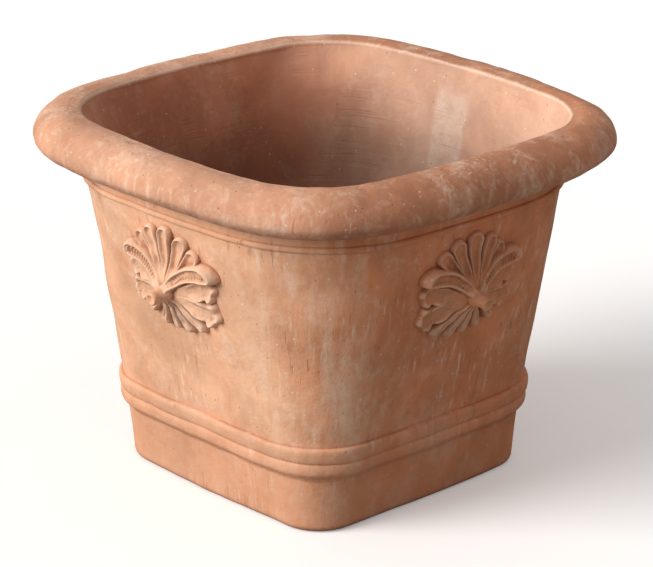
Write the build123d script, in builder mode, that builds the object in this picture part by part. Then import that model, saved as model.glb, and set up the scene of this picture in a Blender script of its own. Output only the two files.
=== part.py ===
"""Square terracotta planter with a rolled rim, a double bead at the waist and a leaf on each face.

Millimetres. The origin is under the middle of the planter, on the surface that it stands on,
+Z is up and the front face looks along -Y.
"""

import os
from collections import namedtuple
from math import atan2, cos, degrees, radians, sin, sqrt

from build123d import *

# A plan outline is a square with bowed sides and rounded corners
Outline = namedtuple("Outline", "half_width side_radius corner_radius")

# Heights above the surface that the planter stands on
foot_height = 60.0
rim_seat_height = 322.0
rim_roll_height = 46.0

# Plan outlines of the outside
base_outline = Outline(half_width=150.0, side_radius=2070.0, corner_radius=44.0)
waist_outline = Outline(half_width=158.0, side_radius=1850.0, corner_radius=57.0)
neck_outline = Outline(half_width=212.0, side_radius=965.0, corner_radius=144.0)
rim_outline = Outline(half_width=250.0, side_radius=874.0, corner_radius=137.0)

# Clay thicknesses
wall_thickness = 23.0
base_thickness = 26.0

# Base slab
base_edge_radius = 7.0
drain_radius = 15.0

# Rolled rim, as a section across it
rim_reach = 36.0
rim_widest_above_seat = 18.0
rim_lip_radius = 15.0

# Double bead at the waist
band_bottom_height = 58.0
band_groove_height = 77.0
band_top_height = 93.0
upper_bead_proud = 4.5
lower_bead_proud = 5.5
band_bead_radius = 4.0
band_bead_overlap = 2.0

# Thin bead under the rim
neck_bead_height = 303.0
neck_bead_radius = 3.5

# Leaf ornament, placed by the height of its hub on each face
leaf_hub_height = 230.0
hub_radius = 13.0
hub_depth = 20.0
bud_radius = 6.5
bud_reach = 34.0

# Upper fan of long petals
upper_petal_length = 58.0
upper_petal_width = 20.0
upper_petal_angles = (90.0, 68.0, 112.0, 48.0, 132.0)

# Curled side lobes
curl_length = 58.0
curl_width = 24.0
curl_angles = (22.0, 158.0)

# Broad scalloped side lobes
scallop_length = 56.0
scallop_width = 30.0
scallop_angles = (-8.0, 188.0, -34.0, 214.0)

# Lower fan of narrow petals
lower_petal_length = 46.0
lower_petal_width = 14.0
lower_petal_angles = (-60.0, -82.0, -98.0, -120.0)

# Where a petal starts, out from the hub's middle, and how far it reaches into the wall before it is cut
petal_root_gap = 8.0
petal_root_radius = 3.5
petal_sink = 8.0

# How far the petals stand off the wall, and the rib on each of them
scallop_depth = 7.0
upper_petal_depth = 8.0
lower_petal_depth = 9.0
curl_depth = 12.0
rib_inset = 3.0
rib_height = 4.0

face_turns = {"front": 0.0, "right": 90.0, "back": 180.0, "left": 270.0}
quarter_turns = (0.0, 90.0, 180.0, 270.0)


os.makedirs("parts", exist_ok=True)


def inset(outline, distance):
    """The outline drawn in by a distance all round."""
    return Outline(*(size - distance for size in outline))


def between(lower, upper, share):
    """The outline that lies a share of the way from a lower one to an upper one."""
    return Outline(*(low + (high - low) * share for low, high in zip(lower, upper)))


def outside_at(height):
    """Plan outline of the outside of the walls at a height."""
    if height < foot_height:
        return between(base_outline, waist_outline, height / foot_height)
    share = (height - foot_height) / (rim_seat_height - foot_height)
    return between(waist_outline, neck_outline, share)


def arcs_of(outline):
    """Distance of the side arc's centre and of the corner arc's centre, and half the side arc's angle."""
    side_centre = outline.half_width - outline.side_radius
    span = sqrt(2 * (outline.side_radius - outline.corner_radius) ** 2 - side_centre**2)
    corner_centre = (side_centre + span) / 2
    half_angle = degrees(atan2(corner_centre, corner_centre - side_centre))
    return side_centre, corner_centre, half_angle


def spot(distance_x, distance_y, turn):
    """A point turned about the planter's axis."""
    c = cos(radians(turn))
    s = sin(radians(turn))
    return (distance_x * c - distance_y * s, distance_x * s + distance_y * c)


def plan_wire(outline, height):
    """The outline as a closed line at a height, from the middle of the right side."""
    side_centre, corner_centre, half_angle = arcs_of(outline)
    corner_angle = 90.0 - 2 * half_angle
    with BuildLine(Plane.XY.offset(height)) as plan:
        for turn in quarter_turns:
            middle = spot(side_centre, 0, turn)
            corner = spot(corner_centre, corner_centre, turn)
            next_middle = spot(side_centre, 0, turn + 90)
            CenterArc(middle, outline.side_radius, turn, half_angle)
            CenterArc(corner, outline.corner_radius, turn + half_angle, corner_angle)
            CenterArc(next_middle, outline.side_radius, turn + 90 - half_angle, half_angle)
    return plan.wires()[0]


def plan_face(outline, height):
    """The outline as a flat face at a height."""
    return Face(plan_wire(outline, height))


def stack(*levels):
    """A solid through plan outlines at their heights, straight from each to the next."""
    with BuildPart() as solid:
        loft(sections=[plan_face(outline, height) for outline, height in levels], ruled=True)
    return solid.part


def ring(profile, outline, height):
    """A section swept round the planter, along an outline at a height."""
    with BuildPart() as band:
        sweep(sections=profile, path=plan_wire(outline, height))
    return band.part


def keep(solid, name):
    """Label a finished piece and write it to its own file."""
    solid.label = name
    export_step(solid, "parts/" + name + ".step")


# Base slab: the bottom of the planter, as wide as the walls that stand on it
with BuildPart() as base_slab:
    slab_top = outside_at(base_thickness)
    loft(sections=[plan_face(base_outline, 0), plan_face(slab_top, base_thickness)], ruled=True)
    fillet(base_slab.edges().group_by(Axis.Z)[0], radius=base_edge_radius)
    with Locations((0, 0, base_thickness)):
        Hole(radius=drain_radius, depth=base_thickness)
keep(base_slab.part, "base_slab")

# Four wall slabs: the walls stand on the base slab and meet on the diagonals of the plan
wall_bottom = outside_at(base_thickness)
wall_height = rim_seat_height - base_thickness
wall_outside = stack(
    (wall_bottom, base_thickness),
    (waist_outline, foot_height),
    (neck_outline, rim_seat_height),
)
wall_inside = stack(
    (inset(wall_bottom, wall_thickness), base_thickness),
    (inset(waist_outline, wall_thickness), foot_height),
    (inset(neck_outline, wall_thickness), rim_seat_height),
)
wedge_reach = 2 * rim_outline.half_width
for face_name, turn in face_turns.items():
    with BuildPart() as wall:
        add(wall_outside)
        add(wall_inside, mode=Mode.SUBTRACT)
        with BuildSketch(Plane.XY.offset(base_thickness).rotated((0, 0, turn))):
            with BuildLine():
                Polyline((0, 0), (-wedge_reach, -wedge_reach), (wedge_reach, -wedge_reach), close=True)
            make_face()
        extrude(amount=wall_height, mode=Mode.INTERSECT)
    keep(wall.part, face_name + "_wall")

# Rolled rim: a rounded roll swept round the mouth, opened by a mouth that flares from the walls
rim_seat_inset = rim_outline.half_width - neck_outline.half_width
mouth_inset = rim_reach + rim_lip_radius
mouth_height = rim_seat_height + rim_roll_height - rim_lip_radius
roll_inner_x = rim_outline.half_width - rim_seat_inset - 2 * wall_thickness
crown_x = rim_outline.half_width - rim_reach
lip_x = rim_outline.half_width - mouth_inset
widest_height = rim_seat_height + rim_widest_above_seat
roll_above_widest = rim_roll_height - rim_widest_above_seat
with BuildSketch(Plane.XZ) as rim_section:
    with BuildLine():
        EllipticalCenterArc(
            (crown_x, widest_height), rim_reach, rim_widest_above_seat, start_angle=270, arc_size=90
        )
        EllipticalCenterArc(
            (crown_x, widest_height), rim_reach, roll_above_widest, start_angle=0, arc_size=90
        )
        CenterArc((crown_x, mouth_height), rim_lip_radius, 90, 90)
        Polyline(
            (lip_x, mouth_height),
            (roll_inner_x, mouth_height),
            (roll_inner_x, rim_seat_height),
            (crown_x, rim_seat_height),
        )
    make_face()
roll = ring(rim_section.sketch, rim_outline, 0)
mouth = stack(
    (inset(neck_outline, wall_thickness), rim_seat_height),
    (inset(rim_outline, mouth_inset), mouth_height),
)
with BuildPart() as rim_roll:
    add(roll)
    add(mouth, mode=Mode.SUBTRACT)
keep(rim_roll.part, "rim_roll")

# Solid planter body, whose outside the beads and leaves are seated on
body = stack(
    (base_outline, 0),
    (waist_outline, foot_height),
    (neck_outline, rim_seat_height),
)

# Double bead at the waist: two rounded beads run as one band, seated on the outside of the walls
with BuildSketch(Plane.XZ) as band_section:
    for low, high, proud in (
        (band_bottom_height, band_groove_height, lower_bead_proud),
        (band_groove_height - band_bead_overlap, band_top_height, upper_bead_proud),
    ):
        middle = (low + high) / 2
        with Locations((outside_at(middle).half_width, middle)):
            RectangleRounded(2 * proud, high - low, radius=band_bead_radius)
with BuildPart() as waist_band:
    add(ring(band_section.sketch, outside_at(band_groove_height), 0))
    add(body, mode=Mode.SUBTRACT)
keep(waist_band.part, "waist_band")

# Thin bead under the rim
with BuildSketch(Plane.XZ) as neck_section:
    with Locations((outside_at(neck_bead_height).half_width, neck_bead_height)):
        Circle(neck_bead_radius)
with BuildPart() as neck_bead:
    add(ring(neck_section.sketch, outside_at(neck_bead_height), 0))
    add(body, mode=Mode.SUBTRACT)
keep(neck_bead.part, "neck_bead")

# Leaf ornament, in the plane of the front face at its hub
wall_lean = (neck_outline.half_width - waist_outline.half_width) / (rim_seat_height - foot_height)
leaf_plane = Plane(
    origin=(0, -outside_at(leaf_hub_height).half_width, leaf_hub_height),
    x_dir=(1, 0, 0),
    z_dir=(0, -1, -wall_lean),
)


def petal(angle, length, width, depth):
    """A petal that lies out from the hub at an angle, rounded at its tip, standing off the wall by a depth."""
    tip_radius = width / 2
    reach = petal_root_gap + length - tip_radius
    with BuildPart() as lobe:
        with BuildSketch(leaf_plane.offset(-petal_sink)):
            with Locations(Location((0, 0, 0), (0, 0, angle))):
                with Locations((petal_root_gap, 0)):
                    Circle(petal_root_radius)
                with Locations((reach, 0)):
                    Circle(tip_radius)
            make_hull()
        extrude(amount=petal_sink + depth)
    return lobe.part


# Each fan is a row of petals, with a narrower rib standing on each petal
petals = []
for angles, length, width, depth in (
    (scallop_angles, scallop_length, scallop_width, scallop_depth),
    (upper_petal_angles, upper_petal_length, upper_petal_width, upper_petal_depth),
    (lower_petal_angles, lower_petal_length, lower_petal_width, lower_petal_depth),
    (curl_angles, curl_length, curl_width, curl_depth),
):
    for angle in angles:
        petals.append(petal(angle, length, width, depth))
        petals.append(petal(angle, length - rib_inset, width - 2 * rib_inset, depth + rib_height))

with BuildPart(leaf_plane) as hub:
    with Locations((0, 0, hub_depth / 2)):
        Cylinder(hub_radius, hub_depth)
    with Locations((0, 0, bud_reach / 2)):
        Cylinder(bud_radius, bud_reach)
    with Locations((0, 0, bud_reach)):
        Sphere(bud_radius)
with BuildPart() as leaf:
    for lobe in petals:
        add(lobe)
    add(hub.part)
    add(body, mode=Mode.SUBTRACT)
for face_name, turn in face_turns.items():
    keep(leaf.part.rotate(Axis.Z, turn), face_name + "_leaf")
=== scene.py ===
"""Square terracotta planter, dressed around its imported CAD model. Metres, +Z up."""

from math import atan2, cos, pi, radians, sin, sqrt

import bpy
import numpy as np
from mathutils import Matrix, Vector


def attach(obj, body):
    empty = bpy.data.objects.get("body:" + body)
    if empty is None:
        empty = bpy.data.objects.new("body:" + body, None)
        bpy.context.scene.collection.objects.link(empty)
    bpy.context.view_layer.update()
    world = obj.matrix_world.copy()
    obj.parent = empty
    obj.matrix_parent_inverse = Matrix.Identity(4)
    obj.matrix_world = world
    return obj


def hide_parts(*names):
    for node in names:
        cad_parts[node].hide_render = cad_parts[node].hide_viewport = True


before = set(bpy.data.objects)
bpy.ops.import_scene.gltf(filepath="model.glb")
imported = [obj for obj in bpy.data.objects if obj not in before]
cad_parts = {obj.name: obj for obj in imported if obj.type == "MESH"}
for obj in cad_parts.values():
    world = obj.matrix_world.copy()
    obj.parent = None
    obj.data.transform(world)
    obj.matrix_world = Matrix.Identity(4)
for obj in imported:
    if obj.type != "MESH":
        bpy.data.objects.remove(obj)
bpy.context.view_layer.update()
MM = 0.001

# Plan outlines of the outside, as half width, side radius and corner radius, in millimetres
BASE_PLAN = np.array((150.0, 2070.0, 44.0))
WAIST_PLAN = np.array((158.0, 1850.0, 57.0))
NECK_PLAN = np.array((212.0, 965.0, 144.0))
RIM_PLAN = np.array((250.0, 874.0, 137.0))

# Heights and thicknesses, in millimetres
SLAB_TOP = 26.0
WAIST_HEIGHT = 60.0
SEAT_HEIGHT = 322.0
WALL_THICKNESS = 23.0
BASE_EDGE = 7.0
DRAIN_RADIUS = 15.0
ROLL_HEIGHT = 46.0
ROLL_REACH = 36.0
ROLL_WIDEST = 18.0
LIP_RADIUS = 6.5
LIP_INSET = 43.0
LIP_HEIGHT = 360.5
LIP_BLEND_ROWS = 8
NECK_BEAD_HEIGHT = 303.0
NECK_BEAD_RADIUS = 3.4
LEAF_HEIGHT = 230.0
LEAF_ACROSS = 68.0
LEAF_DOWN = 54.0
LEAF_UP = 71.0
LEAF_CUT = -2.0
LEAF_SKIRT = -3.0
LEAF_BACK = -8.0
LEAN = atan2(NECK_PLAN[0] - WAIST_PLAN[0], SEAT_HEIGHT - WAIST_HEIGHT)

# The double bead at the waist, as heights and how far it stands off the wall, in millimetres
BAND_BOTTOM = 55.0
LOWER_BEAD_MIDDLE = 68.0
BAND_GROOVE = 77.0
UPPER_BEAD_MIDDLE = 85.0
BAND_TOP = 93.3
LOWER_BEAD_PROUD = 6.0
GROOVE_PROUD = 2.5
UPPER_BEAD_PROUD = 5.2
BAND_EDGE_SUNK = -0.8
BAND_BACK = 4.0

# Waves in the hand-made clay, as sizes and heights in millimetres, and the seed of each set
WALL_WAVES = ((190.0, 0.7), (110.0, 0.45), (60.0, 0.25), (34.0, 0.12))
FLOOR_WAVES = ((70.0, 0.8), (30.0, 0.4))
RIM_WAVES = ((260.0, 0.8), (120.0, 0.5), (55.0, 0.34), (24.0, 0.2))
BAND_WAVES = ((80.0, 0.3), (33.0, 0.2))
BEAD_WAVES = ((45.0, 0.35),)
RELIEF_WAVES = ((22.0, 0.28), (9.0, 0.16), (4.5, 0.09))
LEAF_WAVES = ((30.0, 0.5), (14.0, 0.3))
WALL_SEED = 7
FLOOR_SEED = 3
RIM_SEED = 21
BAND_SEED = 12
BEAD_SEED = 5
RELIEF_SEED = 31
LEAF_SEED = 40

# Mesh density
SIDE_STEPS = 64
CORNER_STEPS = 64
QUARTER = SIDE_STEPS + CORNER_STEPS
RING = 4 * QUARTER
SLAB_ROWS = 10
WALL_ROWS = 100
MOUTH_ROWS = 14
ROLL_ROWS = 44
LIP_ROWS = 12
BUD_STEPS = 40
LEAF_GRID = 0.5
FACE_NAMES = ("right", "back", "left", "front")


# Shapes shared by the skins

def arcs_of(plan):
    """Side arc centre, corner arc centre and half the side arc's angle of a plan outline."""
    half_width, side_radius, corner_radius = plan
    side = half_width - side_radius
    corner = (side + sqrt(2 * (side_radius - corner_radius) ** 2 - side**2)) / 2
    return side, corner, atan2(corner, corner - side)


def plan_ring(plan):
    """Points once round a plan outline, from the middle of the corner before the right side."""
    side, corner, half = arcs_of(plan)
    late_corner = np.linspace(pi / 4, half, CORNER_STEPS // 2 + 1)[:-1]
    side_angles = np.linspace(-half, half, SIDE_STEPS + 1)
    quarter = [(corner + plan[2] * cos(a), -corner + plan[2] * sin(a)) for a in -late_corner]
    quarter += [(side + plan[1] * cos(a), plan[1] * sin(a)) for a in side_angles]
    quarter += [(corner + plan[2] * cos(a), corner + plan[2] * sin(a)) for a in late_corner[:0:-1]]
    quarter = np.array(quarter)
    turned = []
    for turn in range(4):
        c, s = cos(turn * pi / 2), sin(turn * pi / 2)
        turned.append(quarter @ np.array(((c, s), (-s, c))))
    return np.vstack(turned)


def wall_levels(height):
    """The plan outlines below and above a height, and how far the height lies between them."""
    if height < WAIST_HEIGHT:
        return BASE_PLAN, WAIST_PLAN, height / WAIST_HEIGHT
    return WAIST_PLAN, NECK_PLAN, (height - WAIST_HEIGHT) / (SEAT_HEIGHT - WAIST_HEIGHT)


def wall_ring(height, inward=0.0):
    """Points of the wall at a height, a distance in from its outside."""
    low, high, share = wall_levels(height)
    return plan_ring(low - inward) * (1 - share) + plan_ring(high - inward) * share


def face_depth(across, height):
    """Distance of a wall's outside from the axis, across its face and up it."""
    share = (height - WAIST_HEIGHT) / (SEAT_HEIGHT - WAIST_HEIGHT)
    side_low, _, half_low = arcs_of(WAIST_PLAN)
    side_high, _, half_high = arcs_of(NECK_PLAN)
    reach_low, reach_high = WAIST_PLAN[1] * sin(half_low), NECK_PLAN[1] * sin(half_high)
    t = across / (reach_low * (1 - share) + reach_high * share)
    low = side_low + WAIST_PLAN[1] * np.cos(t * half_low)
    high = side_high + NECK_PLAN[1] * np.cos(t * half_high)
    return low * (1 - share) + high * share


def waves(points, sizes, seed):
    """Slow waves over the clay, from seeded sines of the given sizes and heights, in millimetres."""
    rng = np.random.default_rng(seed)
    total = np.zeros(points.shape[:-1])
    for size, height in sizes:
        for _ in range(5):
            way = rng.normal(size=3)
            way /= np.linalg.norm(way)
            total += 0.55 * height * np.sin(points @ way * (2 * pi / size) + rng.uniform(0, 2 * pi))
    return total


def unevenness(points):
    """How far the hand-made wall stands off its true shape."""
    return waves(points, WALL_WAVES, WALL_SEED)


def grid_normals(grid):
    """Unit outward normals of a grid whose rows run round the planter."""
    along = np.roll(grid, -1, 1) - np.roll(grid, 1, 1)
    normal = np.cross(along, np.gradient(grid, axis=0))
    return normal / np.maximum(np.linalg.norm(normal, axis=-1, keepdims=True), 1e-9)


def ring_grid(rows):
    """A grid from rows of plan points and their height."""
    return np.array([np.c_[points, np.full(len(points), float(height))] for points, height in rows])


def link_mesh(name, vertices, faces):
    """A smooth mesh piece, from millimetres."""
    mesh = bpy.data.meshes.new(name)
    mesh.from_pydata((np.asarray(vertices) * MM).tolist(), [], faces)
    mesh.update()
    mesh.shade_smooth()
    piece = bpy.data.objects.new(name, mesh)
    bpy.context.scene.collection.objects.link(piece)
    return piece


def corner_vertices(mesh):
    """The vertex of each face corner."""
    found = np.zeros(len(mesh.loops), dtype=np.int32)
    mesh.loops.foreach_get("vertex_index", found)
    return found


def set_wear_and_light(mesh, values):
    """How far each vertex stands above or below its neighbours, for the clay to paint paler with wear
    and painted highlight, or darker with painted shade.
    """
    mesh.attributes.new("wear_and_light", "FLOAT", "POINT").data.foreach_set("value", values)


def set_normals(piece, vertex_normals, smooth_faces):
    """Given normals on the first faces of a mesh, and flat ones on the rest."""
    mesh = piece.data
    corner_vertex = corner_vertices(mesh)
    face_normals = np.zeros(len(mesh.polygons) * 3)
    mesh.polygons.foreach_get("normal", face_normals)
    loop_normals = np.repeat(face_normals.reshape(-1, 3), 4, axis=0)
    smooth_loops = smooth_faces * 4
    loop_normals[:smooth_loops] = vertex_normals[corner_vertex[:smooth_loops]]
    mesh.normals_split_custom_set(loop_normals.tolist())


def strip(start_a, start_b, steps, wrap):
    """Faces between two rows of vertices."""
    count = steps if wrap else steps + 1
    faces = []
    for i in range(steps):
        j = (i + 1) % count
        faces.append((start_a + i, start_a + j, start_b + j, start_b + i))
    return faces


def hoop(name, grid, sharp=None):
    """A closed ring from a grid whose last row meets its first, with edges over an angle sharp."""
    rows, count = grid.shape[:2]
    faces = []
    for row in range(rows):
        faces += strip(row * count, ((row + 1) % rows) * count, count, True)
    piece = link_mesh(name, grid.reshape(-1, 3), faces)
    if sharp:
        piece.data.set_sharp_from_angle(angle=radians(sharp))
    return piece


# The body's outside and inside, once round, for the base slab and the four walls together
slab_heights = np.linspace(BASE_EDGE, SLAB_TOP, SLAB_ROWS)
wall_heights = np.linspace(SLAB_TOP, SEAT_HEIGHT, WALL_ROWS)
outside = ring_grid([(wall_ring(z), z) for z in np.r_[slab_heights[:-1], wall_heights]])
outside += grid_normals(outside) * unevenness(outside)[..., None]
outside_normals = grid_normals(outside)
mouth_bottom = wall_ring(SEAT_HEIGHT, WALL_THICKNESS)
mouth_top = plan_ring(RIM_PLAN - LIP_INSET - LIP_RADIUS)
mouth_rows = []
for share in np.linspace(0, 1, MOUTH_ROWS)[1:]:
    bulge = 0.5 * share**2 + 0.5 * share
    height = SEAT_HEIGHT * (1 - share) + LIP_HEIGHT * share
    mouth_rows.append((mouth_bottom * (1 - bulge) + mouth_top * bulge, height))
inside = ring_grid([(wall_ring(z, WALL_THICKNESS), z) for z in wall_heights] + mouth_rows)
inside += grid_normals(inside) * unevenness(inside[..., [1, 2, 0]])[..., None]
inside_normals = -grid_normals(inside)
wall_start = SLAB_ROWS - 1
mouth_start = WALL_ROWS - 1


def wall_piece(name, turn):
    """One wall slab: its outside, its inside and flat faces between them."""
    columns = np.arange(turn * QUARTER, (turn + 1) * QUARTER + 1) % RING
    front, front_normals = outside[wall_start:, columns], outside_normals[wall_start:, columns]
    back, back_normals = inside[mouth_start::-1, columns], inside_normals[mouth_start::-1, columns]
    rows, count = front.shape[:2]
    faces = []
    for row in range(rows - 1):
        faces += strip(row * count, (row + 1) * count, count - 1, False)
    outside_faces = len(faces)
    for row in range(rows, 2 * rows - 1):
        faces += strip(row * count, (row + 1) * count, count - 1, False)
    smooth_faces = len(faces)
    faces += strip((rows - 1) * count, rows * count, count - 1, False)
    faces += strip((2 * rows - 1) * count, 0, count - 1, False)
    end = count - 1
    for row in range(rows - 1):
        low_out, high_out = row * count, (row + 1) * count
        low_in, high_in = (2 * rows - 1 - row) * count, (2 * rows - 2 - row) * count
        faces.append((low_in, low_out, high_out, high_in))
        faces.append((low_out + end, low_in + end, high_in + end, high_out + end))
    piece = link_mesh(name, np.vstack((front, back)).reshape(-1, 3), faces)
    set_normals(piece, np.vstack((front_normals, back_normals)).reshape(-1, 3), smooth_faces)
    piece.data.materials.append(clay_outside)
    piece.data.materials.append(clay_inside)
    slots = np.zeros(len(faces), dtype=np.int32)
    slots[outside_faces:] = 1
    piece.data.polygons.foreach_set("material_index", slots)
    return piece


def base_piece(name):
    """The base slab: a rounded bottom edge, the outside, the floor and the drain hole."""
    angles = np.arctan2(*wall_ring(0)[:, ::-1].T)
    hole = np.c_[np.cos(angles), np.sin(angles)] * DRAIN_RADIUS
    start = outside[0, :, :2]
    rows = []
    for turn in np.linspace(0, pi / 2, 8)[:-1]:
        points = start - outside_normals[0, :, :2] * BASE_EDGE * (1 - sin(turn))
        rows.append((points, BASE_EDGE * (1 - cos(turn))))
    edge = ring_grid(rows)
    upright = outside[: wall_start + 1]
    floor_rim = upright[-1, :, :2]
    shares = np.linspace(0, 1, 24)[1:]
    floor = ring_grid([(floor_rim + (hole - floor_rim) * share, SLAB_TOP) for share in shares])
    floor[:-1, :, 2] += 0.8 * waves(floor[:-1], FLOOR_WAVES, FLOOR_SEED) - 0.4
    sides = ring_grid([(hole, z) for z in (22, 14, 6, 0)])
    under = ring_grid([(hole + (rows[0][0] - hole) * share, 0.0) for share in (0.3, 0.6, 0.9)])
    return hoop(name, np.vstack((edge, upright, floor, sides, under)), 50)


def rim_piece(name):
    """The rolled rim: the roll, the lip, the mouth's flare and the flat seat."""
    rows = []
    widest = SEAT_HEIGHT + ROLL_WIDEST
    for a in np.linspace(-pi / 2, pi / 2, ROLL_ROWS):
        rise = (ROLL_HEIGHT - ROLL_WIDEST if a > 0 else ROLL_WIDEST) * sin(a)
        rows.append((plan_ring(RIM_PLAN - ROLL_REACH * (1 - cos(a))), widest + rise))
    for a in np.linspace(pi / 2, pi, LIP_ROWS)[:-1]:
        plan = plan_ring(RIM_PLAN - LIP_INSET + LIP_RADIUS * cos(a))
        rows.append((plan, LIP_HEIGHT + LIP_RADIUS * sin(a)))
    roll = ring_grid(rows)
    # The clay dips in from its true shape, but for the seat and the lip, which meet other surfaces
    shift = np.minimum(waves(roll, RIM_WAVES, RIM_SEED) - 0.7, 0.0)
    shift *= np.clip((roll[..., 2] - SEAT_HEIGHT) / 10, 0, 1)
    shift *= np.clip(np.arange(len(rows))[::-1] / LIP_BLEND_ROWS, 0, 1)[:, None]
    roll += grid_normals(roll) * shift[..., None]
    mouth = inside[mouth_start:][::-1]
    seat, foot = roll[0, :, :2], mouth[-1, :, :2]
    under = ring_grid([(foot + (seat - foot) * share, SEAT_HEIGHT) for share in (0.35, 0.7)])
    whole = np.vstack((roll, mouth))
    piece = hoop(name, np.vstack((whole, under)))
    mesh = piece.data
    # The mouth shades on into the walls below it
    normals = grid_normals(whole)
    normals[-1] = inside_normals[mouth_start]
    shown = (len(whole) - 1) * RING
    loop_normals = np.tile((0.0, 0.0, -1.0), (len(mesh.loops), 1))
    loop_normals[: 4 * shown] = normals.reshape(-1, 3)[corner_vertices(mesh)[: 4 * shown]]
    mesh.normals_split_custom_set(loop_normals.tolist())
    # The inside's clay reaches up to the lip, whose edge is paler: rubbed wear and a painted highlight
    edge_row = len(roll) - 5
    mesh.materials.append(clay_rim)
    mesh.materials.append(clay_inside)
    slots = np.zeros(len(mesh.polygons), dtype=np.int32)
    slots[edge_row * RING:shown] = 1
    mesh.polygons.foreach_set("material_index", slots)
    # A pale band along the lip's edge: rubbed wear and painted highlight
    wear_and_light = np.zeros(len(mesh.vertices))
    rubbed_and_lit = 1.1 * np.exp(-(((np.arange(len(whole)) - edge_row) / 2.6) ** 2))
    wear_and_light[: len(whole) * RING] = np.repeat(rubbed_and_lit, RING)
    set_wear_and_light(mesh, wear_and_light)
    return piece


def band_proud(height):
    """How far the double bead stands off the wall at a height."""
    if height < LOWER_BEAD_MIDDLE:
        fall = (LOWER_BEAD_MIDDLE - height) / (LOWER_BEAD_MIDDLE - BAND_BOTTOM)
        sunk = 0.6 * (height < BAND_BOTTOM + 0.5)
        return LOWER_BEAD_PROUD * (0.5 + 0.5 * cos(pi * fall)) - sunk
    if height < BAND_GROOVE:
        across = (height - LOWER_BEAD_MIDDLE) / (BAND_GROOVE - LOWER_BEAD_MIDDLE)
        return GROOVE_PROUD + (LOWER_BEAD_PROUD - GROOVE_PROUD) * sqrt(max(0.0, 1 - across**2))
    if height < BAND_TOP:
        across = abs(height - UPPER_BEAD_MIDDLE) / (BAND_TOP - UPPER_BEAD_MIDDLE)
        return GROOVE_PROUD + (UPPER_BEAD_PROUD - GROOVE_PROUD) * sqrt(max(0.0, 1 - across**2.6))
    return BAND_EDGE_SUNK


def band_piece(name):
    """The double bead at the waist, its back sunk in the wall."""
    lower = np.linspace(BAND_BOTTOM, BAND_GROOVE, 26)
    upper = np.linspace(BAND_GROOVE + 0.6, BAND_TOP - 1.1, 22)
    heights = np.r_[lower, upper, BAND_TOP - 0.4, BAND_TOP]
    grid = ring_grid([(wall_ring(z), z) for z in heights])
    proud = np.array([band_proud(z) for z in heights])[:, None]
    dents = waves(grid, BAND_WAVES, BAND_SEED) * (proud > 0)
    front = grid + grid_normals(grid) * (unevenness(grid) + proud + dents)[..., None]
    back = ring_grid([(wall_ring(z, BAND_BACK), z) for z in (90.0, 74.0, 58.0)])
    return hoop(name, np.vstack((front, back)), 55)


def bead_piece(name):
    """The thin bead under the rim, half sunk in the wall."""
    rows = []
    for a in np.linspace(-pi, pi, 17)[:-1]:
        z = NECK_BEAD_HEIGHT + NECK_BEAD_RADIUS * sin(a)
        rows.append((wall_ring(z, -NECK_BEAD_RADIUS * cos(a)), z))
    middle = wall_ring(NECK_BEAD_HEIGHT)
    upright = ring_grid([(middle, NECK_BEAD_HEIGHT + rise) for rise in (-1, 0, 1)])
    shift = unevenness(upright[1:2]) + waves(upright[1:2], BEAD_WAVES, BEAD_SEED)
    return hoop(name, ring_grid(rows) + grid_normals(upright)[1] * shift[..., None])


# Leaf relief

def petal_depth(u, v, angle, start, reach, root, tip):
    """Distance in from a petal's outline, and the distances along and across it."""
    a = radians(angle)
    along = u * cos(a) + v * sin(a) - start
    across = v * cos(a) - u * sin(a)
    b = (root - tip) / reach
    c = sqrt(1 - b * b)
    wide = np.abs(across)
    k = c * along - b * wide
    near = np.hypot(wide, along) - root
    far = np.hypot(wide, along - reach) - tip
    side = c * wide + b * along - root
    return -np.where(k < 0, near, np.where(k > c * reach, far, side)), along, across


def edge_rise(depth, width):
    """A rounded edge: none at the outline, full one width in, and below the wall outside it."""
    x = np.clip(depth / width, -0.35, 1)
    return 1 - (1 - x) ** 2


def soft_step(x):
    """A smooth rise from 0 to 1."""
    x = np.clip(x, 0, 1)
    return x * x * (3 - 2 * x)


# Petals and lobes, as the angle they lie at, the reach to the middle of their tip and the tip's
# radius, and the side a curl bends to
UPPER = ((91, 51, 9.4), (68, 48, 9.0), (112, 51, 9.0), (50, 47, 8.4), (129, 51, 8.6))
LOWER = ((-43, 42, 6.6), (-64, 37, 6.4), (-88, 33, 6.0), (-113, 37, 6.4), (-137, 42, 6.6))
SCALLOPS = ((12, 43, 13.0), (168, 43, 13.0), (-17, 44, 14.0), (197, 44, 14.0))
CURLS = ((36, 55, 11.0, 1), (144, 55, 11.0, -1))
CURL_BEND = radians(30)
HATCH_PITCH = 3.5


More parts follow.
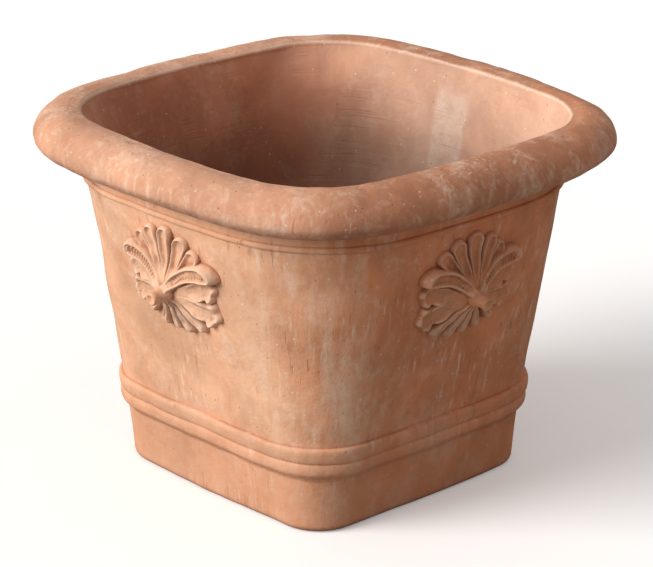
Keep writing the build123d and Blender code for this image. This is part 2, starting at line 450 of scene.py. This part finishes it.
def relief(u, v):
    """Height of the leaf ornament off the wall, in millimetres."""
    away = np.hypot(u, v)
    u = u + 0.8 * np.sin(v / 6.5 + 0.7) * soft_step((away - 20) / 20)
    v = v + 0.7 * np.sin(u / 7.5 + 2.1) * soft_step((away - 20) / 20)
    height = np.full(u.shape, -6.0)
    for angle, reach, tip in SCALLOPS:
        depth, along, across = petal_depth(u, v, angle, 6, reach, 6, tip)
        around = np.arctan2(across, along - reach)
        depth = depth + 1.3 * np.cos(around * 5) * soft_step((along - 18) / 16)
        crown = 13.5 - 6.5 * np.clip(along / reach, 0, 1.3)
        fold = 1.5 * np.cos(around * 5) * soft_step((along - 8) / 18) * soft_step(1 - depth / 13)
        dish = 2.4 * soft_step((depth - 3) / 6) * soft_step((along - 14) / 14)
        height = np.maximum(height, (crown + fold - dish) * edge_rise(depth, 4.5))
    for angle, reach, tip in UPPER:
        depth, along, across = petal_depth(u, v, angle, 6, reach, 4, tip)
        t = np.clip(along / reach, 0, 1.4)
        crown = 16.5 - 10.5 * t + 1.8 * soft_step((t - 0.75) / 0.35)
        hollow = 4.2 * soft_step((depth - 1.3) / 4.4) * soft_step((along - 10) / 14)
        height = np.maximum(height, (crown - hollow) * edge_rise(depth, 2.6))
    for angle, reach, tip in LOWER:
        depth, along, across = petal_depth(u, v, angle, 6, reach, 3.6, tip)
        t = np.clip(along / reach, 0, 1.3)
        crown = 16.5 - 9.0 * t
        groove = 2.2 * np.exp(-(across / 1.7) ** 2)
        groove = groove * soft_step((along - 6) / 8) * soft_step((reach - along) / 9)
        height = np.maximum(height, (crown - groove) * edge_rise(depth, 4.0))
    for angle, reach, tip, side in CURLS:
        bend = side * CURL_BEND * (away / 70 - 0.65)
        bent_u = u * np.cos(bend) - v * np.sin(bend)
        bent_v = u * np.sin(bend) + v * np.cos(bend)
        depth, along, across = petal_depth(bent_u, bent_v, angle, 5, reach, 7.5, tip)
        t = np.clip(along / reach, 0, 1.4)
        crown = 20.5 - 10.0 * t + 3.4 * soft_step((t - 0.6) / 0.5)
        channel = 5.8 * soft_step((depth - 2.2) / 4.2) * soft_step((along - 5) / 12)
        channel *= soft_step((reach + 7 - along) / 12)
        lines = np.sin((along + 0.09 * across**2) * 2 * pi / HATCH_PITCH)
        hatch = 0.65 * lines * soft_step((depth - 2.6) / 2.4) * soft_step((along - 6) / 8)
        hatch *= soft_step((reach + 6 - along) / 6)
        height = np.maximum(height, (crown - channel + hatch) * edge_rise(depth, 4.8))
    height = np.maximum(height, 20.5 - 0.13 * away**2)
    return height


def bud_mesh():
    """Vertices and faces of the round bud, in across, up and off-the-wall distances."""
    profile = [(10.5, 12), (9.2, 17), (7.6, 20.5), (6.6, 23.5), (6.3, 26.5), (6.6, 29), (6.8, 31)]
    profile += [(6.3, 32.6), (5.2, 33.2), (4.0, 32.7), (2.8, 31.5), (1.4, 30.9)]
    count = BUD_STEPS
    root = profile[0][1]
    vertices = [(0.0, 0.0, root)]
    for radius, off in profile:
        rise = 0.05 * (off - root)
        for a in np.linspace(0, 2 * pi, count, endpoint=False):
            wobbly = radius * (1 + 0.035 * sin(3 * a + 0.4 * off) + 0.02 * sin(5 * a))
            vertices.append((wobbly * cos(a), wobbly * sin(a) + rise, off))
    vertices.append((0.0, 0.9, 30.7))
    faces = [(0, 1 + (i + 1) % count, 1 + i) for i in range(count)]
    for row in range(len(profile) - 1):
        faces += strip(1 + row * count, 1 + (row + 1) * count, count, True)
    last = 1 + (len(profile) - 1) * count
    faces += [(last + i, last + (i + 1) % count, len(vertices) - 1) for i in range(count)]
    return np.array(vertices), faces


def blurred(field, cells, passes):
    """The field averaged over a square window a few times over."""
    for _ in range(passes):
        for axis in (0, 1):
            shifted = [np.roll(field, shift, axis) for shift in range(-cells, cells + 1)]
            field = sum(shifted) / len(shifted)
    return field


# The relief on its grid, and how far each point of it stands above what lies round it, which the clay
# paints paler with wear and painted highlight, and darker with painted shade in the hollows
leaf_u, leaf_v = np.meshgrid(
    np.arange(-LEAF_ACROSS, LEAF_ACROSS + LEAF_GRID / 2, LEAF_GRID),
    np.arange(-LEAF_DOWN, LEAF_UP + LEAF_GRID / 2, LEAF_GRID),
)
leaf_off = relief(leaf_u, leaf_v)
leaf_off += waves(np.stack((leaf_u, leaf_v, leaf_off), -1), RELIEF_WAVES, RELIEF_SEED)
shallow = np.maximum(leaf_off, -1.0)
leaf_wear_and_light = 0.6 * (shallow - blurred(shallow, 3, 3)) + 0.25 * (shallow - blurred(shallow, 9, 3))


def leaf_piece(name, turn, seed):
    """A leaf ornament: its relief, a back inside the wall, and the bud."""
    shown = leaf_off > LEAF_CUT
    cells = shown[:-1, :-1] | shown[1:, :-1] | shown[:-1, 1:] | shown[1:, 1:]
    rows, columns = np.nonzero(cells)
    count = leaf_u.shape[1]
    corner = rows * count + columns
    quads = np.stack((corner, corner + 1, corner + 1 + count, corner + count), 1)
    used = np.unique(quads)
    number = np.full(leaf_u.size, -1)
    number[used] = np.arange(len(used))
    quads = number[quads]
    fields = (leaf_u, leaf_v, np.maximum(leaf_off, LEAF_SKIRT))
    front = np.stack([field.ravel()[used] for field in fields], 1)
    front[:, 2] += 0.5 * waves(front, LEAF_WAVES, seed) * (front[:, 2] > 0)
    sunk = front.copy()
    sunk[:, 2] = LEAF_BACK
    edges = np.vstack([quads[:, [i, (i + 1) % 4]] for i in range(4)])
    keys = {tuple(edge) for edge in edges.tolist()}
    rim = [edge for edge in keys if (edge[1], edge[0]) not in keys]
    total = len(front)
    faces = quads.tolist()
    faces += (quads[:, ::-1] + total).tolist()
    faces += [(b, a, a + total, b + total) for a, b in sorted(rim)]
    # Each leaf is pressed on by hand: its bud and its tilt differ a little
    rng = np.random.default_rng(seed)
    bud, bud_faces = bud_mesh()
    bud = bud + np.array((rng.uniform(-0.6, 0.6), rng.uniform(-0.6, 0.6), 0))
    faces += [tuple(i + 2 * total for i in face) for face in bud_faces]
    local = np.vstack((front, sunk, bud))
    tilt = radians(rng.uniform(-1.2, 1.2))
    across = local[:, 0] * cos(tilt) - local[:, 1] * sin(tilt)
    up = local[:, 0] * sin(tilt) + local[:, 1] * cos(tilt)
    z = LEAF_HEIGHT + up * cos(LEAN)
    base = np.stack((across, -face_depth(across, z), z), 1)
    normal = np.array((0, -cos(LEAN), -sin(LEAN)))
    c, s = cos(turn), sin(turn)
    turned = np.array(((c, s, 0), (-s, c, 0), (0, 0, 1)))
    base, normal = base @ turned, normal @ turned
    off = local[:, 2] + unevenness(base)
    piece = link_mesh(name, base + normal * off[:, None], faces)
    # Wear and painted highlight where the relief stands proud, painted shade in its hollows
    wear_and_light = np.zeros(len(local))
    wear_and_light[: len(used)] = leaf_wear_and_light.ravel()[used]
    set_wear_and_light(piece.data, wear_and_light)
    return piece


# Colours of the clay and of the marks on it, as linear light
# Each pair is the tone of the front and left and the tone of the right and back: partly painted light
# and shade, the lit side paler, and partly the clay's own tone
WALL_LIT_SIDE = (0.74, 0.41, 0.25, 1)
WALL_SHADE_SIDE = (0.69, 0.268, 0.125, 1)
# On the inside, the front and left walls lie in painted shade and take the darker tone, while the
# right and back walls are lit
INSIDE_SHADE_SIDE = (0.55, 0.222, 0.127, 1)
INSIDE_LIT_SIDE = (0.64, 0.365, 0.25, 1)
RIM_LIT_SIDE = (0.62, 0.325, 0.205, 1)
RIM_SHADE_SIDE = (0.51, 0.222, 0.122, 1)
LEAF_LIT_SIDE = (0.76, 0.43, 0.27, 1)
LEAF_SHADE_SIDE = (0.65, 0.28, 0.14, 1)
REDDER = (0.50, 0.185, 0.09, 1)
BLOOM = (0.84, 0.62, 0.47, 1)
DUST = (0.90, 0.68, 0.54, 1)
SMEAR = (0.82, 0.68, 0.58, 1)
RUN = (0.88, 0.65, 0.48, 1)
BRUSHED = (0.86, 0.70, 0.56, 1)
SCRATCHED = (0.33, 0.145, 0.08, 1)
FLECK = (0.90, 0.82, 0.74, 1)
PIT = (0.22, 0.095, 0.05, 1)
FOOT = (0.57, 0.245, 0.132, 1)
# Painted shade, for the creases
CREASE_SHADE = (0.27, 0.115, 0.062, 1)
# Rubbed wear and painted highlight
RUBBED_AND_HIGHLIGHT = (0.90, 0.70, 0.55, 1)
# Painted shade, for hollows
HOLLOW_SHADE = (0.36, 0.15, 0.08, 1)

# Size of the finest relief, in metres
BUMP_DEPTH = 0.0011


# Fired clay, in object coordinates

def node(tree, kind, inputs=None, **settings):
    """A shader node, its settings and its inputs, which are values or other nodes' outputs."""
    made = tree.nodes.new(kind)
    for key, value in settings.items():
        setattr(made, key, value)
    for key, value in (inputs or {}).items():
        if isinstance(value, bpy.types.NodeSocket):
            tree.links.new(value, made.inputs[key])
        else:
            made.inputs[key].default_value = value
    return made


def noise(tree, coords, scale, detail=4.0, rough=0.55, distortion=0.0):
    """Cloudy noise, about 0.5 on the whole."""
    values = {"Vector": coords, "Scale": scale, "Detail": detail, "Roughness": rough}
    values["Distortion"] = distortion
    return node(tree, "ShaderNodeTexNoise", values).outputs["Fac"]


def stretch(tree, coords, scale=(1, 1, 1), rotation=(0, 0, 0), location=(0, 0, 0)):
    """Coordinates scaled, turned and moved, so that a texture runs its own way."""
    values = {"Vector": coords, "Scale": scale, "Rotation": rotation, "Location": location}
    return node(tree, "ShaderNodeMapping", values).outputs["Vector"]


def step(tree, value, low, high, bottom=0.0, top=1.0):
    """A smooth change from bottom to top as the value goes from low to high."""
    values = {"Value": value, "From Min": low, "From Max": high, "To Min": bottom, "To Max": top}
    return node(tree, "ShaderNodeMapRange", values, interpolation_type="SMOOTHSTEP").outputs["Result"]


def calc(tree, operation, a, b=0.0):
    """One sum of two values."""
    return node(tree, "ShaderNodeMath", {0: a, 1: b}, operation=operation).outputs[0]


def times(tree, first, *others):
    """The product of values."""
    for other in others:
        first = calc(tree, "MULTIPLY", first, other)
    return first


def mix(tree, factor, a, b, blend="MIX"):
    """Two colours mixed, all the second at a factor of 1."""
    values = {0: factor, 6: a, 7: b}
    return node(tree, "ShaderNodeMix", values, data_type="RGBA", blend_type=blend).outputs[2]


def shaded(tree, colour, value):
    """A colour made lighter or darker by a value."""
    grey = node(tree, "ShaderNodeCombineColor", {0: value, 1: value, 2: value}).outputs[0]
    return mix(tree, 1.0, colour, grey, "MULTIPLY")


def distance_from(tree, value, middle):
    """How far a value lies from a middle one, either way."""
    return calc(tree, "ABSOLUTE", calc(tree, "SUBTRACT", value, middle))


def clay(name, front_left_tone, back_right_tone, bloom, streak, scratch, crease_shade, spots, patches, worn_and_lit, dust, inner=False):
    """Weathered terracotta with painted light and shade on it; the numbers say how much of each mark
    it carries.
    """
    material = bpy.data.materials.new(name)
    material.use_nodes = True
    tree = material.node_tree
    shader = tree.nodes["Principled BSDF"]
    coords = node(tree, "ShaderNodeTexCoord").outputs["Object"]
    x, y, z = node(tree, "ShaderNodeSeparateXYZ", {0: coords}).outputs
    cloud = noise(tree, coords, 7.0, 5.0, 0.6)
    # The front and left take one tone and the right and back another, with a wandering border: partly
    # painted light and shade, the lit side's tone paler than the shaded side's, and partly the clay's
    # own weathering
    across = times(tree, calc(tree, "ADD", x, y), -1.0)
    wander = times(tree, calc(tree, "SUBTRACT", cloud, 0.5), 0.22)
    colour = mix(tree, step(tree, calc(tree, "ADD", across, wander), -0.13, 0.13), back_right_tone, front_left_tone)
    broad = noise(tree, coords, 13.0, 5.0, 0.6, 0.4)
    colour = shaded(tree, colour, step(tree, broad, 0.32, 0.68, 0.84, 1.12))
    warm = noise(tree, stretch(tree, coords, location=(3, 1, 2)), 34.0, 6.0, 0.65)
    colour = mix(tree, times(tree, step(tree, warm, 0.5, 0.75), spots), colour, REDDER)
    # Lime bloom in soft patches with broken edges
    patch = noise(tree, stretch(tree, coords, (1, 1, 0.7), location=(1, 5, 3)), patches, 8.0, 0.68)
    grain = calc(tree, "SUBTRACT", noise(tree, coords, 260.0, 3.0, 0.6), 0.5)
    patch = calc(tree, "ADD", patch, times(tree, grain, 0.22))
    colour = mix(tree, times(tree, step(tree, patch, 0.47, 0.72), bloom), colour, BLOOM)
    # Pale dust, broken up finely
    dusty = noise(tree, stretch(tree, coords, (1, 1, 0.8), location=(6, 1, 8)), 46.0, 9.0, 0.74, 0.6)
    dusty = times(tree, step(tree, dusty, 0.5, 0.68), step(tree, cloud, 0.36, 0.62, 0.35, 1.0), dust)
    colour = mix(tree, dusty, colour, DUST)
    # A pale square smear on the inside of the back wall
    if inner:
        sway = times(tree, calc(tree, "SUBTRACT", noise(tree, coords, 38.0, 5.0, 0.7), 0.5), 0.02)
        beside = calc(tree, "ADD", distance_from(tree, x, -0.012), sway)
        level = calc(tree, "ADD", distance_from(tree, z, 0.295), sway)
        thin = step(tree, noise(tree, coords, 60.0, 6.0, 0.7), 0.3, 0.6, 0.1, 0.42)
        smear = times(tree, step(tree, beside, 0.026, 0.016), step(tree, level, 0.052, 0.034))
        smear = times(tree, smear, step(tree, y, 0.10, 0.12), thin)
        colour = mix(tree, smear, colour, SMEAR)
    # Upright pale runs, most of them by the front corner and few near the foot
    runs = noise(tree, stretch(tree, coords, (34, 34, 1.7)), 1.0, 5.0, 0.6, 0.3)
    corner = step(tree, calc(tree, "ABSOLUTE", calc(tree, "ADD", x, y)), 0.03, 0.12, 1.0, 0.16)
    facing = step(tree, calc(tree, "SUBTRACT", x, y), 0.0, 0.2, 0.4, 1.0)
    broken = step(tree, noise(tree, coords, 90.0, 4.0, 0.7), 0.36, 0.6, 0.5, 1.0)
    amount = times(tree, step(tree, runs, 0.45, 0.68), corner, facing, broken, streak)
    colour = mix(tree, times(tree, amount, step(tree, z, 0.03, 0.13, 0.35, 1.0)), colour, RUN)
    # Brush marks and scratches, level on the inside and slanted on the outside
    if inner:
        slant = stretch(tree, coords, (9, 9, 420))
    else:
        slant = stretch(tree, coords, (190, 190, 10), rotation=(0.55, -0.5, 0.0))
    fine = noise(tree, slant, 1.0, 2.0, 0.5)
    where = noise(tree, stretch(tree, coords, location=(9, 2, 4)), 16.0, 3.0)
    where = step(tree, where, 0.45, 0.62)
    marks = times(tree, step(tree, fine, 0.57, 0.70), where)
    colour = mix(tree, times(tree, marks, scratch), colour, BRUSHED)
    deep = times(tree, step(tree, fine, 0.40, 0.31), where)
    colour = mix(tree, times(tree, deep, scratch * 0.8), colour, SCRATCHED)
    # Small lime flecks and dark pits, each in a few of the cells
    cells = node(tree, "ShaderNodeTexVoronoi", {"Vector": coords, "Scale": 260.0}).outputs
    chosen = node(tree, "ShaderNodeSeparateColor", {0: cells["Color"]}).outputs
    fleck = times(tree, step(tree, cells["Distance"], 0.30, 0.12), step(tree, chosen[0], 0.955, 0.97))
    colour = mix(tree, times(tree, fleck, 0.6), colour, FLECK)
    pit = times(tree, step(tree, cells["Distance"], 0.26, 0.10), step(tree, chosen[1], 0.965, 0.98))
    colour = mix(tree, times(tree, pit, 0.7), colour, PIT)
    # The foot is redder than the walls, and the inside is darker towards the floor: painted shade deep
    # in the pot
    colour = mix(tree, step(tree, z, 0.05, 0.13, 0.42, 0.0), colour, FOOT)
    if inner:
        colour = shaded(tree, colour, step(tree, z, 0.24, 0.35, 0.48, 1.0))
    # Painted shade in the creases; paler clay on what stands proud, partly lime and rubbed wear and
    # partly painted highlight
    occlusion = node(tree, "ShaderNodeAmbientOcclusion", {"Distance": 0.016}, samples=8).outputs["AO"]
    colour = mix(tree, times(tree, step(tree, occlusion, 0.85, 0.25), crease_shade), colour, CREASE_SHADE)
    if worn_and_lit:
        wear_and_light = node(tree, "ShaderNodeAttribute", attribute_name="wear_and_light").outputs["Fac"]
        rubbed_and_lit = times(tree, step(tree, wear_and_light, 0.1, 1.3), step(tree, patch, 0.35, 0.6, 0.45, 1.0), worn_and_lit)
        colour = mix(tree, rubbed_and_lit, colour, RUBBED_AND_HIGHLIGHT)
        # Painted shade in the hollows
        colour = mix(tree, times(tree, step(tree, wear_and_light, -0.2, -1.6), 0.6), colour, HOLLOW_SHADE)
    tree.links.new(colour, shader.inputs["Base Color"])
    shader.inputs["Roughness"].default_value = 0.86
    shader.inputs["Specular IOR Level"].default_value = 0.28
    # Relief too small for the mesh
    rough = times(tree, noise(tree, coords, 95.0, 5.0, 0.62), 1.1)
    grit = noise(tree, coords, 620.0, 4.0, 0.65)
    for mark, height in ((grit, 0.32), (marks, 0.12), (deep, -0.35), (pit, -0.6)):
        rough = calc(tree, "ADD", rough, times(tree, mark, height))
    bump = node(tree, "ShaderNodeBump", {"Height": rough, "Strength": 0.75, "Distance": BUMP_DEPTH})
    tree.links.new(bump.outputs["Normal"], shader.inputs["Normal"])
    return material


clay_outside = clay(
    "clay_outside", WALL_LIT_SIDE, WALL_SHADE_SIDE, bloom=0.34, streak=0.75, scratch=0.5, crease_shade=0.5,
    spots=0.4, patches=11.0, worn_and_lit=0.0, dust=0.42,
)
clay_inside = clay(
    "clay_inside", INSIDE_SHADE_SIDE, INSIDE_LIT_SIDE, bloom=0.25, streak=0.1, scratch=0.10, crease_shade=0.5,
    spots=0.1, patches=11.0, worn_and_lit=0.7, dust=0.2, inner=True,
)
clay_rim = clay(
    "clay_rim", RIM_LIT_SIDE, RIM_SHADE_SIDE, bloom=0.45, streak=0.0, scratch=0.35, crease_shade=0.5,
    spots=0.5, patches=24.0, worn_and_lit=0.7, dust=0.5,
)
clay_leaf = clay(
    "clay_leaf", LEAF_LIT_SIDE, LEAF_SHADE_SIDE, bloom=0.35, streak=0.2, scratch=0.2, crease_shade=0.6,
    spots=0.3, patches=11.0, worn_and_lit=0.42, dust=0.4,
)


# The pieces
made = []
for turn, face in enumerate(FACE_NAMES):
    made.append((wall_piece("skin_" + face + "_wall", turn), face + "_wall", None))
    leaf = leaf_piece("skin_" + face + "_leaf", (turn + 1) * pi / 2, LEAF_SEED + turn)
    made.append((leaf, face + "_leaf", clay_leaf))
made.append((base_piece("skin_base_slab"), "base_slab", clay_outside))
made.append((rim_piece("skin_rim_roll"), "rim_roll", None))
made.append((band_piece("skin_waist_band"), "waist_band", clay_outside))
made.append((bead_piece("skin_neck_bead"), "neck_bead", clay_outside))
for piece, name, material in made:
    if material:
        piece.data.materials.append(material)
    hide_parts(name)
    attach(piece, "root")


# Pale floor, white around it
FLOOR_HALF = 12.0
FLOOR_SEEN = (0.92, 0.92, 0.92, 1)
FLOOR_BOUNCE = (0.30, 0.28, 0.26, 1)
FLOOR_GLOW = 0.22
SURROUND_SEEN = (1, 1, 1, 1)
SURROUND_FILL = (0.43, 0.40, 0.385, 1)

corners = [(x * FLOOR_HALF, y * FLOOR_HALF, 0) for x, y in ((-1, -1), (1, -1), (1, 1), (-1, 1))]
floor_mesh = bpy.data.meshes.new("floor")
floor_mesh.from_pydata(corners, [], [(0, 1, 2, 3)])
floor = bpy.data.objects.new("floor", floor_mesh)
bpy.context.scene.collection.objects.link(floor)
white = bpy.data.materials.new("floor_white")
white.use_nodes = True
tree = white.node_tree
rays = node(tree, "ShaderNodeLightPath").outputs
floor_shader = tree.nodes["Principled BSDF"]
floor_shader.inputs["Roughness"].default_value = 1.0
floor_shader.inputs["Specular IOR Level"].default_value = 0.0
floor_shader.inputs["Emission Color"].default_value = SURROUND_SEEN
floor_colour = mix(tree, rays["Is Camera Ray"], FLOOR_BOUNCE, FLOOR_SEEN)
floor_glow = times(tree, rays["Is Camera Ray"], FLOOR_GLOW)
tree.links.new(floor_colour, floor_shader.inputs["Base Color"])
tree.links.new(floor_glow, floor_shader.inputs["Emission Strength"])
floor_mesh.materials.append(white)

world = bpy.data.worlds.new("surround")
bpy.context.scene.world = world
world.use_nodes = True
tree = world.node_tree
rays = node(tree, "ShaderNodeLightPath").outputs
mirrored = calc(tree, "MAXIMUM", rays["Is Glossy Ray"], rays["Is Transmission Ray"])
seen = calc(tree, "MAXIMUM", rays["Is Camera Ray"], mirrored)
surround = tree.nodes["Background"]
tree.links.new(mix(tree, seen, SURROUND_FILL, SURROUND_SEEN), surround.inputs["Color"])


# A broad sun from the camera's left
KEY_TOWARDS = (-0.32, -0.80, 0.44)
KEY_STRENGTH = 3.4
KEY_SPREAD = radians(38)
KEY_COLOUR = (1.0, 0.98, 0.95)

key_light = bpy.data.lights.new("key", "SUN")
key_light.energy = KEY_STRENGTH
key_light.angle = KEY_SPREAD
key_light.color = KEY_COLOUR
key = bpy.data.objects.new("key", key_light)
key.rotation_euler = Vector(KEY_TOWARDS).to_track_quat("Z", "Y").to_euler()
bpy.context.scene.collection.objects.link(key)


# The camera of the photograph, in radians, metres and millimetres of lens
CAMERA_AZIMUTH = 0.815
CAMERA_ELEVATION = 0.358
CAMERA_ROLL = 0.006
CAMERA_DISTANCE = 3.0
CAMERA_AIM = Vector((0, 0, 0.184))
CAMERA_LENS = 166.41
CAMERA_SENSOR = 36.0
CAMERA_SHIFT = (0.0036, -0.0007)
CAMERA_FAR = 100.0

back = Vector((
    sin(CAMERA_AZIMUTH) * cos(CAMERA_ELEVATION),
    -cos(CAMERA_AZIMUTH) * cos(CAMERA_ELEVATION),
    sin(CAMERA_ELEVATION),
))
level_right = Vector((cos(CAMERA_AZIMUTH), sin(CAMERA_AZIMUTH), 0))
level_up = back.cross(level_right)
right = level_right * cos(CAMERA_ROLL) + level_up * sin(CAMERA_ROLL)
up = level_up * cos(CAMERA_ROLL) - level_right * sin(CAMERA_ROLL)
lens = bpy.data.cameras.new("camera")
lens.sensor_fit = "HORIZONTAL"
lens.sensor_width = CAMERA_SENSOR
lens.lens = CAMERA_LENS
lens.shift_x, lens.shift_y = CAMERA_SHIFT
lens.clip_end = CAMERA_FAR
camera = bpy.data.objects.new("camera", lens)
turned = Matrix((right, up, back)).transposed()
camera.matrix_world = Matrix.Translation(CAMERA_AIM + back * CAMERA_DISTANCE) @ turned.to_4x4()
bpy.context.scene.collection.objects.link(camera)
bpy.context.scene.camera = camera
bpy.context.scene.view_settings.view_transform = "Standard"
